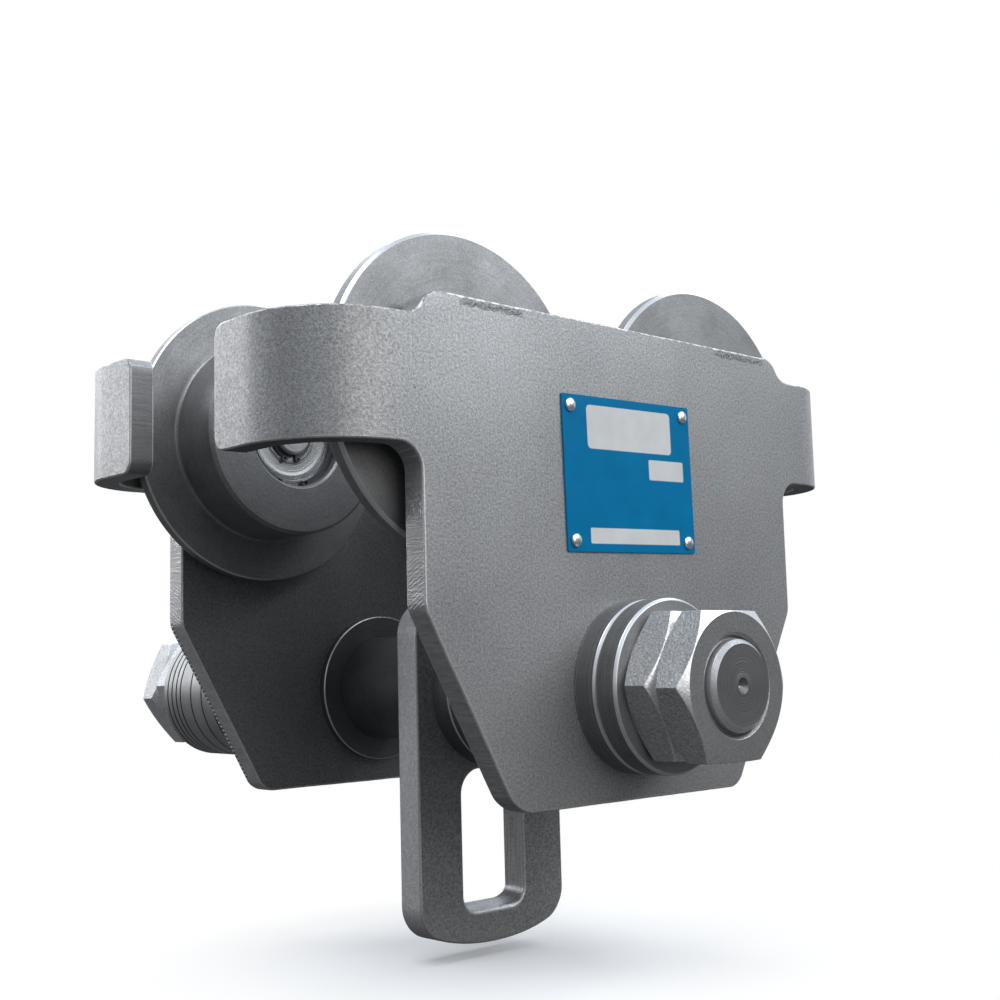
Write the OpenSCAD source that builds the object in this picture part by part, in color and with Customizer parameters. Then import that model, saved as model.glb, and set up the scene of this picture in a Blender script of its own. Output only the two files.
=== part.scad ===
// Manual beam trolley: two flame-cut side plates with bent bumper ears, four
// flanged wheels, and a load bar that carries a slotted lifting link.
// X runs along the beam, Y across it and Z up. The origin is the middle of
// the surface that the wheels run on.

/* [Side plates] */
// Width of a side plate between its upright sides
plate_w = 240; // [225:1:300]
// Height of a side plate
plate_h = 214; // [205:1:240]
// Thickness of a side plate
plate_t = 12; // [8:0.5:16]
// Height of the plates' top edge above the running surface
plate_top = 87; // [82:1:96]
// Length of the upright sides, measured down from the top edge
side_h = 130; // [110:1:140]
// Width of the lower edge between its corners
foot_w = 146; // [120:1:180]
// Radius of a plate's left lower corner, as seen from outside
left_foot_r = 16; // [4:1:20]
// Radius of a plate's right lower corner
right_foot_r = 10; // [4:1:20]
// Radius where an upright side turns into a slanted one
waist_r = 10; // [5:1:40]
// Clear width between the two side plates
inner_gap = 176; // [170:1:260]

/* [Bumper ears] */
// Length of the trolley over its bumper ears
overall_l = 350; // [340:1:420]
// Drop from the top edge to the ears' upper edge
ear_drop = 11; // [6:1:16]
// Height of an ear
ear_h = 53; // [36:1:60]
// Inner radius of the bend of a plate's left ear, as seen from outside
left_bend_r = 32; // [22:1:34]
// Inner radius of the bend of a plate's right ear
right_bend_r = 26; // [22:1:34]
// Reach of the left ear from its plate's outer face towards the beam
left_reach = 66; // [58:1:70]
// Reach of the right ear
right_reach = 63; // [58:1:70]
// Radius of the corners at an ear's end
ear_corner_r = 6; // [2:0.5:12]
// Radius under an ear, where it meets the upright side
ear_fillet_r = 11; // [4:1:16]
// Length of the step between the top edge and an ear
step_run = 18; // [13:1:22]
// Distance from the middle to the start of that step
step_start = 109.5; // [100:0.5:112]

/* [Wheels] */
// Diameter of the tread
tread_d = 100; // [90:1:104]
// Width of the tread
tread_w = 30; // [26:1:36]
// Diameter of the flange
flange_d = 141.5; // [120:0.5:149]
// Thickness of the flange
flange_t = 7.6; // [4:0.2:9]
// Bevel around the flange's outer face
flange_bevel = 1.4; // [1:0.1:3]
// Bevel around the tread's inner face
tread_bevel = 1.5; // [0.5:0.5:3]
// Distance between the axles of a plate
wheelbase = 161; // [155:1:168]
// Gap between a wheel and its side plate
wheel_gap = 7.1; // [6.5:0.1:12]

/* [Axles and bearings] */
// Diameter of the journal inside the bearing
journal_d = 20; // [15:1:22]
// Outer diameter of the bearing
bearing_d = 52; // [47:1:56]
// Width of the bearing
bearing_w = 15; // [12:1:16]
// Depth of the bearing below the wheel's inner face
bearing_inset = 7.5; // [5:0.5:9]
// Radial thickness of the bearing's inner race
inner_race_t = 4; // [3:0.5:5]
// Radial thickness of the bearing's outer race
outer_race_t = 4; // [3:0.5:5]
// Depth of the pin's seat in the side plate
pin_seat = 7; // [5:0.5:7]
// Leg of the weld around the pin
weld_leg = 5; // [3:0.5:6]
// Length of the pin beyond its circlip
pin_tip = 3; // [2:0.5:4]
// Thickness of the circlip on the pin
pin_clip_t = 1.2; // [1:0.1:1.8]
// Thickness of the circlip in the wheel
bore_clip_t = 2; // [1.5:0.1:2.5]
// Depth of a circlip's groove
clip_groove = 0.9; // [0.6:0.1:1.2]

/* [Load bar] */
// Diameter of the load bar and of its thread
bar_d = 42; // [30:1:44]
// Drop from the plates' top edge to the bar's axis
bar_drop = 164; // [158:1:166]
// Depth by which the bar's ends are turned down, ahead of the thread
bar_end_cut = 1.5; // [0.5:0.5:2.5]
// Length of those ends
bar_end_l = 5; // [3:0.5:8]
// Bevel at the ends of the bar
bar_bevel = 2; // [1:0.5:3]
// Length of the bar that stands out of its nuts
bar_proud = 3; // [0.5:0.5:6]
// Width of the nuts across their flats
nut_af = 63; // [61:1:75]
// Thickness of each nut
nut_t = 17; // [14:1:22]

/* [Washers and spacer tubes] */
// Outer diameter of the washers
washer_d = 77; // [72:1:84]
// Thickness of a thick washer
thick_washer = 12; // [8:1:14]
// Thickness of a thin washer
thin_washer = 5; // [3:0.5:6]
// Bore of the spare washers, which hang on the bar
spare_bore = 47.5; // [44:0.5:50]
// Bevel on the washers' rims
washer_bevel = 1; // [0.4:0.1:1.5]
// Outer diameter of the spacer tubes
tube_d = 54; // [50:1:64]
// Number of thick washers outside the front plate
front_thick = 2; // [1:1:3]
// Number of spare thick washers outside the rear plate
rear_thick = 11; // [6:1:12]
// Number of spare thin washers outside the rear plate
rear_thin = 4; // [1:1:5]

/* [Lifting link] */
// Width of the link
link_w = 94; // [86:1:100]
// Thickness of the link
link_t = 15; // [10:0.5:20]
// Length of the link from the bar's axis to its lower end
link_l = 124; // [118:1:150]
// Height of the link's upper end above the bar's axis
link_head = 48; // [40:1:54]
// Width of the slot
slot_w = 40; // [30:1:44]
// Height of the slot
slot_h = 69; // [50:1:70]
// Metal below the slot
slot_floor = 15.5; // [14:0.5:24]
// Radius of the slot's lower corners
slot_r = 9; // [7:1:15]
// Radius of its upper corners
slot_top_r = 12; // [7:1:18]
// Radius of the link's corners
link_corner_r = 16; // [6:1:20]
// Radius of the curve along the link's ends
link_crown_r = 104; // [80:1:150]

/* [Data plate] */
// Width of the data plate
data_w = 86; // [60:1:100]
// Height of the data plate
data_h = 70; // [50:1:80]
// Thickness of the data plate
data_t = 1; // [0.6:0.1:2]
// Distance of the data plate from the plate's middle
data_x = 2.5; // [-10:0.5:10]
// Drop from the side plate's top edge to the data plate's middle
data_drop = 69; // [62:1:76]
// Turn of the data plate, as it was riveted on
data_tilt = 1.2; // [-3:0.1:3]
// Distance of the rivets from the data plate's edges
rivet_inset = 5; // [3.5:0.5:8]
// Diameter of a rivet's shank
rivet_d = 3.2; // [2:0.2:4]
// Diameter of a rivet's head
rivet_head_d = 6; // [5:0.2:7]

/* [Fits] */
// Radial clearance of the bar in plates, washers, tubes and nuts
bar_clear = 0.5; // [0.3:0.05:1]
// Radial clearance of the bar in the nuts' threads
thread_clear = 0.05; // [0.02:0.01:0.1]
// Radial clearance of the link on the bar
link_clear = 0.1; // [0.05:0.01:0.1]
// Clearance on each side of the link
link_side_clear = 0.25; // [0.1:0.05:0.5]
// Radial clearance of parts that are pressed or seated
seat_clear = 0.03; // [0.01:0.01:0.05]
// Radial clearance between a bearing's shields and its inner race
shield_clear = 0.08; // [0.05:0.01:0.1]

/* [Hidden] */
FINE = 96;
MEDIUM = 48;
HEX = 6;
CUT = 1;
ARC_STEPS = 12;

// Levels above the running surface
ear_top = plate_top - ear_drop;
plate_foot = plate_top - plate_h;
waist = plate_top - side_h;
bar_z = plate_top - bar_drop;
axle_z = tread_d / 2;
link_end = bar_z - link_l;

// Distances from the middle of the beam, outwards
plate_in = inner_gap / 2;
plate_out = plate_in + plate_t;
wheel_out = plate_in - wheel_gap;
flange_in = wheel_out - flange_t;
wheel_in = flange_in - tread_w;
bearing_in = wheel_in + bearing_inset;
bearing_out = bearing_in + bearing_w;
ears_in = plate_out - max(left_reach, right_reach);

// Distances along the beam
axle_x = wheelbase / 2;
ear_middle = (overall_l - plate_t) / 2;

// Pin, bearing and wheel bore
shoulder_d = journal_d + 1.5 * inner_race_t;
inner_race_d = journal_d + 2 * inner_race_t;
outer_race_in_d = bearing_d - 2 * outer_race_t;
hub_hole_d = bearing_d - 2.5 * outer_race_t;

// Stack on the bar, from the link towards each side
link_room = link_t + 2 * link_side_clear;
front_inside = [thick_washer, thin_washer];
rear_inside = thin_washer;
tube_l = (inner_gap - link_room - thick_washer - 3 * thin_washer) / 2;
link_rear = plate_in - thin_washer - tube_l - rear_inside - link_side_clear;
link_front = link_rear - link_t;
front_nut_at = plate_out + front_thick * thick_washer;
rear_nut_at = plate_out + rear_thick * thick_washer + rear_thin * thin_washer;
bar_front = front_nut_at + 2 * nut_t + bar_proud;
bar_rear = rear_nut_at + 2 * nut_t + bar_proud;

// Ears of the rear plate: side along X, inner radius of the bend, end along Y
EARS = [
    [1, left_bend_r, plate_out - left_reach],
    [-1, right_bend_r, plate_out - right_reach]
];

// Corners of the trolley: name, side along X, side along Y
CORNERS = [
    ["front_left", -1, -1],
    ["front_right", 1, -1],
    ["rear_left", -1, 1],
    ["rear_right", 1, 1]
];

// Washers on the bar: name, where the washer starts along Y, thickness, bore
function numbered(stem, i) = str(stem, "_", i + 1);
fitted_bore = bar_d + 2 * bar_clear;
WASHERS = concat(
    [for (i = [0:front_thick - 1])
        [numbered("front_washer", i), -plate_out - (i + 1) * thick_washer, thick_washer, fitted_bore]],
    [
        ["link_washer_thick", link_front - link_side_clear - thick_washer, thick_washer, fitted_bore],
        ["link_washer_front", link_front - link_side_clear - thick_washer - thin_washer,
            thin_washer, fitted_bore],
        ["link_washer_rear", link_rear + link_side_clear, thin_washer, fitted_bore],
        ["rear_inside_washer", plate_in - thin_washer, thin_washer, fitted_bore]
    ],
    [for (i = [0:rear_thick - 1])
        [numbered("spare_thick_washer", i), plate_out + i * thick_washer, thick_washer, spare_bore]],
    [for (i = [0:rear_thin - 1])
        [numbered("spare_thin_washer", i),
            plate_out + rear_thick * thick_washer + i * thin_washer, thin_washer, spare_bore]]
);

// Spacer tubes: name, where the tube starts along Y
TUBES = [
    ["front_spacer_tube", -plate_in],
    ["rear_spacer_tube", plate_in - thin_washer - tube_l]
];

// Nuts: name, where the nut starts along Y, and the turn at which it was tight
NUTS = [
    ["front_inner_nut", -front_nut_at - nut_t, 2],
    ["front_outer_nut", -front_nut_at - 2 * nut_t, 0.5],
    ["rear_inner_nut", rear_nut_at, 4],
    ["rear_outer_nut", rear_nut_at + nut_t, -8.5]
];

CORNER_PIECES = ["wheel", "bearing_outer_race", "bearing_inner_race", "axle_pin",
    "pin_circlip", "bore_circlip"];

STEEL = [0.62, 0.63, 0.64];
ZINC = [0.72, 0.73, 0.74];
PLATE_BLUE = [0.06, 0.42, 0.62];

// Points of an arc around c, from angle a to angle b
function arc(c, r, a, b, steps = ARC_STEPS) =
    [for (i = [0:steps]) c + r * [cos(a + (b - a) * i / steps), sin(a + (b - a) * i / steps)]];

// A list of points mirrored across X = 0, in the opposite order
function mirrored(points) =
    [for (i = [len(points) - 1:-1:0]) [-points[i][0], points[i][1]]];

// Turns a shape drawn along +Z so that it lies along +Y from y
module along_y(y) {
    translate([0, y, 0]) rotate([-90, 0, 0]) children();
}

// Half of the outline of a side plate, from the middle of its lower edge up
slant = atan2(waist - plate_foot, (plate_w - foot_w) / 2);
waist_bend = 90 - slant;
waist_set = waist_r * tan(waist_bend / 2);
step_angle = 2 * atan(ear_drop / step_run);
step_r = step_run / (2 * sin(step_angle));
function half_plate_outline(foot_r) = concat(
    arc([foot_w / 2 - foot_r * tan(slant / 2), plate_foot + foot_r], foot_r, -90, slant - 90),
    arc([plate_w / 2 - waist_r, waist + waist_set], waist_r, slant - 90, 0),
    arc([plate_w / 2 + ear_fillet_r, ear_top - ear_h - ear_fillet_r], ear_fillet_r, 180, 90),
    [[overall_l / 2, ear_top - ear_h], [overall_l / 2, ear_top]],
    arc([step_start + step_run, ear_top + step_r], step_r, 270, 270 - step_angle),
    arc([step_start, plate_top - step_r], step_r, 90 - step_angle, 90)
);

// A rectangle from the middle towards one side, from y to y + h
module side_square(side, w, y, h) {
    translate([side > 0 ? 0 : -w, y]) square([w, h]);
}

// What a bent ear leaves free: inside it, outside its bend and past its end
module ear_plan_cuts(side, bend, end) {
    bend_x = ear_middle - plate_t / 2 - bend;
    side_square(side, overall_l, ears_in - CUT, end - ears_in + CUT);
    side_square(side, bend_x, ears_in - CUT, plate_in - ears_in + CUT);
    side_square(side, bend_x + bend, ears_in - CUT, plate_in - bend - ears_in + CUT);
    translate([side * bend_x, plate_in - bend]) circle(r = bend, $fn = FINE);
    translate([side * bend_x, plate_in - bend]) difference() {
        side_square(side, overall_l, 0, overall_l);
        circle(r = bend + plate_t, $fn = FINE);
    }
}

// The side plate as it is seen from above: flat, then bent inward at both ends
module plate_plan() {
    difference() {
        translate([-overall_l / 2, ears_in]) square([overall_l, plate_out - ears_in]);
        for (e = EARS) ear_plan_cuts(e[0], e[1], e[2]);
    }
}

// Takes the two outer corners off the end of an ear
module ear_corner_cuts(side, end) {
    reach = ear_corner_r + CUT;
    for (level = [[ear_top, -1], [ear_top - ear_h, 1]])
        translate([side * ear_middle, end + ear_corner_r, level[0] + level[1] * ear_corner_r])
            rotate([0, 90, 0]) difference() {
                translate([level[1] > 0 ? 0 : -reach, -reach, -plate_t])
                    cube([reach, reach, 2 * plate_t]);
                cylinder(h = 3 * plate_t, r = ear_corner_r, center = true, $fn = MEDIUM);
            }
}

// A side plate on the +Y side
module side_plate_blank() {
    difference() {
        intersection() {
            translate([0, 0, plate_foot]) linear_extrude(plate_h) plate_plan();
            translate([0, plate_out + CUT, 0]) rotate([90, 0, 0])
                linear_extrude(plate_out - ears_in + 2 * CUT)
                    polygon(concat(half_plate_outline(left_foot_r),
                        mirrored(half_plate_outline(right_foot_r))));
        }
        for (e = EARS) ear_corner_cuts(e[0], e[2]);
        translate([0, 0, bar_z]) along_y(plate_in - CUT)
            cylinder(h = plate_t + 2 * CUT, d = fitted_bore, $fn = FINE);
        for (side = [-1, 1])
            translate([side * axle_x, 0, axle_z]) along_y(plate_in - CUT)
                cylinder(h = pin_seat + CUT, d = shoulder_d + 2 * seat_clear, $fn = FINE);
    }
}

module front_side_plate() {
    color(STEEL) difference() {
        rotate([0, 0, 180]) side_plate_blank();
        data_plate_place() rivet_places()
            cylinder(h = 2 * plate_t + CUT, d = rivet_d + 2 * seat_clear, center = true, $fn = MEDIUM);
    }
}

module rear_side_plate() {
    color(STEEL) side_plate_blank();
}

// A wheel with its axis along +Y and its outer face at wheel_out
module wheel() {
    rim = flange_d / 2;
    tread = tread_d / 2;
    bore = bearing_d / 2 + seat_clear;
    hole = hub_hole_d / 2;
    groove = bore + clip_groove;
    back_bevel = flange_bevel / 2;
    color(STEEL) along_y(0) rotate_extrude($fn = FINE) polygon([
        [hole, wheel_out],
        [rim - flange_bevel, wheel_out],
        [rim, wheel_out - flange_bevel],
        [rim, flange_in + back_bevel],
        [rim - back_bevel, flange_in],
        [tread, flange_in],
        [tread, wheel_in + tread_bevel],
        [tread - tread_bevel, wheel_in],
        [bore, wheel_in],
        [bore, bearing_in - bore_clip_t],
        [groove, bearing_in - bore_clip_t],
        [groove, bearing_in],
        [bore, bearing_in],
        [bore, bearing_out],
        [hole, bearing_out]
    ]);
}

module bearing_outer_race() {
    outside = bearing_d / 2;
    inside = outer_race_in_d / 2;
    shield = inner_race_d / 2 + shield_clear;
    shield_t = bearing_w / 8;
    color(ZINC) along_y(0) rotate_extrude($fn = FINE) polygon([
        [shield, bearing_in],
        [outside, bearing_in],
        [outside, bearing_out],
        [shield, bearing_out],
        [shield, bearing_out - shield_t],
        [inside, bearing_out - shield_t],
        [inside, bearing_in + shield_t],
        [shield, bearing_in + shield_t]
    ]);
}

module bearing_inner_race() {
    color(ZINC) along_y(0) rotate_extrude($fn = FINE)
        translate([journal_d / 2 + seat_clear, bearing_in])
            square([inner_race_t - seat_clear, bearing_w]);
}

// An axle pin, seated in its plate and welded round its shoulder
module axle_pin() {
    shoulder = shoulder_d / 2;
    journal = journal_d / 2;
    groove = journal - clip_groove;
    clip = bearing_in - pin_clip_t;
    tip = clip - pin_tip;
    tip_bevel = pin_tip / 3;
    color(ZINC) along_y(0) rotate_extrude($fn = FINE) polygon([
        [0, plate_in + pin_seat],
        [shoulder, plate_in + pin_seat],
        [shoulder, plate_in],
        [shoulder + weld_leg, plate_in],
        [shoulder, plate_in - weld_leg],
        [shoulder, bearing_out],
        [journal, bearing_out],
        [journal, bearing_in],
        [groove, bearing_in],
        [groove, clip],
        [journal, clip],
        [journal, tip + tip_bevel],
        [journal - tip_bevel, tip],
        [0, tip]
    ]);
}

// An open ring with a lug on each side of its gap
module circlip(inside, outside, thickness, gap, lug_at) {
    lug_d = 1.2 * (outside - inside);
    hole_d = lug_d / 2.4;
    difference() {
        union() {
            cylinder(h = thickness, r = outside, $fn = FINE);
            for (side = [-1, 1])
                translate([side * (gap / 2 + lug_d / 2), lug_at, 0])
                    cylinder(h = thickness, d = lug_d, $fn = MEDIUM);
        }
        translate([0, 0, -CUT]) cylinder(h = thickness + 2 * CUT, r = inside, $fn = FINE);
        translate([-gap / 2, 0, -CUT]) cube([gap, 2 * outside, thickness + 2 * CUT]);
        for (side = [-1, 1])
            translate([side * (gap / 2 + lug_d / 2), lug_at, -CUT])
                cylinder(h = thickness + 2 * CUT, d = hole_d, $fn = MEDIUM);
    }
}

module pin_circlip() {
    inside = journal_d / 2 - clip_groove + seat_clear;
    outside = journal_d / 2 + clip_groove * 2;
    color(ZINC) along_y(bearing_in - pin_clip_t)
        circlip(inside, outside, pin_clip_t, inside / 2, outside);
}

module bore_circlip() {
    outside = bearing_d / 2 + clip_groove;
    inside = outside - clip_groove * 4;
    color(ZINC) along_y(bearing_in - bore_clip_t)
        circlip(inside, outside, bore_clip_t, inside / 2, inside);
}

// Puts a piece drawn for +Y at a corner of the trolley
module at_corner(c) {
    translate([c[1] * axle_x, 0, axle_z]) rotate([0, 0, c[2] > 0 ? 0 : 180]) children();
}

module corner_piece(piece) {
    if (piece == "wheel") wheel();
    if (piece == "bearing_outer_race") bearing_outer_race();
    if (piece == "bearing_inner_race") bearing_inner_race();
    if (piece == "axle_pin") axle_pin();
    if (piece == "pin_circlip") pin_circlip();
    if (piece == "bore_circlip") bore_circlip();
}

module load_bar() {
    r = bar_d / 2;
    end_r = r - bar_end_cut;
    centre_r = r / 6;
    centre_depth = centre_r * 1.2;
    color(ZINC) translate([0, 0, bar_z]) along_y(0) rotate_extrude($fn = FINE) polygon([
        [0, centre_depth - bar_front],
        [centre_r, -bar_front],
        [end_r - bar_bevel, -bar_front],
        [end_r, bar_bevel - bar_front],
        [end_r, bar_end_l - bar_front],
        [r, bar_end_l + bar_end_cut - bar_front],
        [r, bar_rear - bar_end_l - bar_end_cut],
        [end_r, bar_rear - bar_end_l],
        [end_r, bar_rear - bar_bevel],
        [end_r - bar_bevel, bar_rear],
        [centre_r, bar_rear],
        [0, bar_rear - centre_depth]
    ]);
}

// A washer; one whose bore is wide hangs down until it touches the bar
module washer(y, thickness, bore) {
    hang = bore / 2 - bar_d / 2 - bar_clear;
    color(STEEL) translate([0, 0, bar_z - hang]) along_y(y) rotate_extrude($fn = FINE) polygon([
        [bore / 2, 0],
        [washer_d / 2 - washer_bevel, 0],
        [washer_d / 2, washer_bevel],
        [washer_d / 2, thickness - washer_bevel],
        [washer_d / 2 - washer_bevel, thickness],
        [bore / 2, thickness]
    ]);
}

module spacer_tube(y) {
    color(STEEL) translate([0, 0, bar_z]) along_y(y) rotate_extrude($fn = FINE)
        translate([fitted_bore / 2, 0]) square([(tube_d - fitted_bore) / 2, tube_l]);
}

// A hex nut with bevelled corners and a countersunk thread
module nut(y, turn) {
    bore = bar_d / 2 + thread_clear;
    sink = bore + 1.2;
    corner = nut_af / 2 / cos(30);
    face = nut_af / 2 * 0.985;
    reach = corner + CUT;
    slope = (reach - face) * tan(32);
    color(ZINC) translate([0, 0, bar_z]) rotate([0, turn, 0]) along_y(y) intersection() {
        cylinder(h = nut_t, r = corner, $fn = HEX);
        rotate_extrude($fn = FINE) polygon([
            [sink, 0],
            [face, 0],
            [reach, slope],
            [reach, nut_t - slope],
            [face, nut_t],
            [sink, nut_t],
            [bore, nut_t - sink + bore],
            [bore, sink - bore]
        ]);
    }
}

// A quarter of the link around the bar's axis: from the middle of an end that
// lies at height h, along its curve and round its corner to the link's side
link_corner_x = link_w / 2 - link_corner_r;
link_corner_turn = acos(link_corner_x / (link_crown_r - link_corner_r));
link_corner_set = (link_crown_r - link_corner_r) * sin(link_corner_turn) - link_crown_r;
function link_quarter(h) = concat(
    arc([0, h - link_crown_r], link_crown_r, 90, link_corner_turn),
    arc([link_corner_x, h + link_corner_set], link_corner_r, link_corner_turn, 0)
);

// Half of the link's outline, from the middle of its lower end up
function half_link_outline() =
    let(upper = link_quarter(link_head))
    concat(
        [for (p = link_quarter(link_l)) [p[0], -p[1]]],
        [for (i = [len(upper) - 1:-1:0]) upper[i]]
    );

// The slot: a rounded rectangle through the link
module link_slot() {
    low = link_end + slot_floor;
    corners = [
        [1, slot_top_r, low + slot_h - slot_top_r, 0],
        [-1, slot_top_r, low + slot_h - slot_top_r, 90],
        [-1, slot_r, low + slot_r, 180],
        [1, slot_r, low + slot_r, 270]
    ];
    translate([0, link_rear + CUT, 0]) rotate([90, 0, 0]) linear_extrude(link_t + 2 * CUT)
        polygon([for (c = corners)
            each arc([c[0] * (slot_w / 2 - c[1]), c[2]], c[1], c[3], c[3] + 90)]);
}

module lifting_link() {
    color(STEEL) difference() {
        translate([0, link_rear, bar_z]) rotate([90, 0, 0]) linear_extrude(link_t)
            polygon(concat(half_link_outline(), mirrored(half_link_outline())));
        link_slot();
        translate([0, 0, bar_z]) along_y(link_front - CUT)
            cylinder(h = link_t + 2 * CUT, d = bar_d + 2 * link_clear, $fn = FINE);
    }
}

// Puts a shape drawn towards +Z onto the front plate, where the data plate goes
module data_plate_place() {
    translate([data_x, -plate_out, plate_top - data_drop])
        rotate([0, -data_tilt, 0]) rotate([90, 0, 0]) children();
}

module rivet_places() {
    for (x = [-1, 1]) for (y = [-1, 1])
        translate([x * (data_w / 2 - rivet_inset), y * (data_h / 2 - rivet_inset), 0]) children();
}

module data_plate() {
    corner = rivet_inset / 5;
    corners = [
        [data_w / 2 - corner, data_h / 2 - corner, 0],
        [corner - data_w / 2, data_h / 2 - corner, 90],
        [corner - data_w / 2, corner - data_h / 2, 180],
        [data_w / 2 - corner, corner - data_h / 2, 270]
    ];
    color(PLATE_BLUE) data_plate_place() difference() {
        linear_extrude(data_t)
            polygon([for (c = corners) each arc([c[0], c[1]], corner, c[2], c[2] + 90, 6)]);
        rivet_places() translate([0, 0, -CUT])
            cylinder(h = data_t + 2 * CUT, d = rivet_d + 2 * seat_clear, $fn = MEDIUM);
    }
}

// Four drive rivets: a domed head on a shank that goes into the side plate
module data_plate_rivets() {
    head_h = rivet_head_d / 4;
    dome_r = (pow(rivet_head_d / 2, 2) + pow(head_h, 2)) / (2 * head_h);
    dome_angle = asin(rivet_head_d / 2 / dome_r);
    shank_l = plate_t / 2;
    color(ZINC) data_plate_place() rivet_places() rotate_extrude($fn = MEDIUM)
        polygon(concat(
            [[0, -shank_l], [rivet_d / 2, -shank_l], [rivet_d / 2, data_t], [rivet_head_d / 2, data_t]],
            arc([0, data_t + head_h - dome_r], dome_r, 90 - dome_angle, 90, 6)
        ));
}

front_side_plate();
rear_side_plate();
load_bar();
lifting_link();
data_plate();
data_plate_rivets();
for (t = TUBES)
    spacer_tube(t[1]);
for (n = NUTS)
    nut(n[1], n[2]);
for (w = WASHERS)
    washer(w[1], w[2], w[3]);
for (piece = CORNER_PIECES) for (c = CORNERS)
    at_corner(c) corner_piece(piece);
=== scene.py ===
import math

import bmesh
import bpy
from mathutils import Matrix, Vector, noise


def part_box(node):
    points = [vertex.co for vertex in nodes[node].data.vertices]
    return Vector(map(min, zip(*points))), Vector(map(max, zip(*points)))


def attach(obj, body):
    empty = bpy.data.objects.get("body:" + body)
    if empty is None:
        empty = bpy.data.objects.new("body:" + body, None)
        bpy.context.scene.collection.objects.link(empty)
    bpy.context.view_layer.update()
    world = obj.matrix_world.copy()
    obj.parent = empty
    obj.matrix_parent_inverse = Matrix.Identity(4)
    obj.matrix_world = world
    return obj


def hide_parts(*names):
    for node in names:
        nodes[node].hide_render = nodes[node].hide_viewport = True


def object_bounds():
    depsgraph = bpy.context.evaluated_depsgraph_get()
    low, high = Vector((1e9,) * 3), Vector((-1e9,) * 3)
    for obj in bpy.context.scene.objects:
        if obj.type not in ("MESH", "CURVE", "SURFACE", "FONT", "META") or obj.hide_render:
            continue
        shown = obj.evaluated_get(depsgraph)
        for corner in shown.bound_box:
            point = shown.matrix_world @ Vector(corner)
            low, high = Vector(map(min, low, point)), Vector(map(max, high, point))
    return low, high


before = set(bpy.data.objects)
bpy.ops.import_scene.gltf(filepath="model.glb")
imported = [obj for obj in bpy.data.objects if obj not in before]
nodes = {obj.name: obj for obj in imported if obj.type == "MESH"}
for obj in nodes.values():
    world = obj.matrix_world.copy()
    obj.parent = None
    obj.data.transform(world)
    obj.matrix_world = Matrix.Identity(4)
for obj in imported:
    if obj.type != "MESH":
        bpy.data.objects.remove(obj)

cad_low, cad_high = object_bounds()
MM = 0.001

# Sizes of the trolley, in metres, as its CAD has them
PLATE_T = 12 * MM
PLATE_IN = 88 * MM
PLATE_OUT = PLATE_IN + PLATE_T
PLATE_TOP = 87 * MM
PLATE_FOOT = -127 * MM
PLATE_HALF_W = 120 * MM
FOOT_HALF_W = 73 * MM
LEFT_FOOT_R = 16 * MM
RIGHT_FOOT_R = 10 * MM
WAIST_Z = -43 * MM
WAIST_R = 10 * MM
PLATE_RIM_W = 0.9 * MM
EAR_TOP = 76 * MM
EAR_FOOT = 23 * MM
EAR_FILLET_R = 11 * MM
EAR_CORNER_R = 6 * MM
STEP_START = 109.5 * MM
STEP_RUN = 18 * MM
HALF_L = 175 * MM
LEFT_BEND_R = 32 * MM
LEFT_EAR_END = 34 * MM
RIGHT_BEND_R = 26 * MM
RIGHT_EAR_END = 37 * MM

AXLE_X = 80.5 * MM
AXLE_Z = 50 * MM
TREAD_R = 50 * MM
FLANGE_R = 70.75 * MM
FLANGE_BEVEL = 1.4 * MM
WHEEL_OUT = 80.9 * MM
FLANGE_IN = 73.3 * MM
WHEEL_IN = 43.3 * MM
BEARING_IN = 50.8 * MM
BEARING_OUT = 65.8 * MM
BEARING_R = 26 * MM
RACE_GAP_OUT = 22 * MM
RACE_GAP_IN = 14 * MM
JOURNAL_R = 10 * MM
SHOULDER_R = 13 * MM
PIN_SEAT = 7 * MM
HUB_HOLE_R = 21 * MM
GROOVE = 0.9 * MM
SEAT_SEAM = 0.03 * MM
WELD_LEG = 5 * MM
PIN_CLIP_T = 1.2 * MM
BORE_CLIP_T = 2 * MM

BAR_R = 21 * MM
BAR_Z = -77 * MM
BAR_END_R = 19.5 * MM
BAR_END_L = 5 * MM
BAR_BEVEL = 2 * MM
BAR_HOLE_R = BAR_R + 0.5 * MM
LINK_BORE_R = BAR_R + 0.1 * MM
WASHER_R = 38.5 * MM
WASHER_BORE_R = 21.5 * MM
SPARE_BORE_R = 23.75 * MM
TUBE_R = 27 * MM
TUBE_BORE_R = 21.5 * MM

LINK_HALF_W = 47 * MM
LINK_L = 124 * MM
LINK_HEAD = 48 * MM
LINK_CROWN_R = 104 * MM
LINK_CORNER_R = 16 * MM
SLOT_HALF_W = 20 * MM
SLOT_H = 69 * MM
SLOT_FLOOR = 15.5 * MM
SLOT_R = 9 * MM
SLOT_TOP_R = 12 * MM
LINK_RIM_W = 1.1 * MM

DATA_W = 86 * MM
DATA_H = 70 * MM
DATA_T = 1 * MM
DATA_CENTRE = Vector((2.5 * MM, -PLATE_OUT, PLATE_TOP - 69 * MM))
DATA_TILT = math.radians(-1.2)
DATA_PLACE = Matrix.Translation(DATA_CENTRE) @ Matrix.Rotation(DATA_TILT, 4, "Y")
DATA_CORNER = 1 * MM
RIVET_X = 38 * MM
RIVET_Z = 30 * MM
RIVET_R = 3 * MM
RIVET_BRIM = 0.35 * MM
RIVET_DOME = 1.1 * MM
RIVET_SHANK_R = 1.6 * MM
RIVET_SHANK_L = 5 * MM

# Heights on a side plate where the hatching and the sparkle of its cut edge start, are full, start to fade and end
HATCHED = (-44 * MM, -41 * MM, -27 * MM, -20 * MM)
SPARKLING = (-9 * MM, -5 * MM, 2 * MM, 6 * MM)
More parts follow.
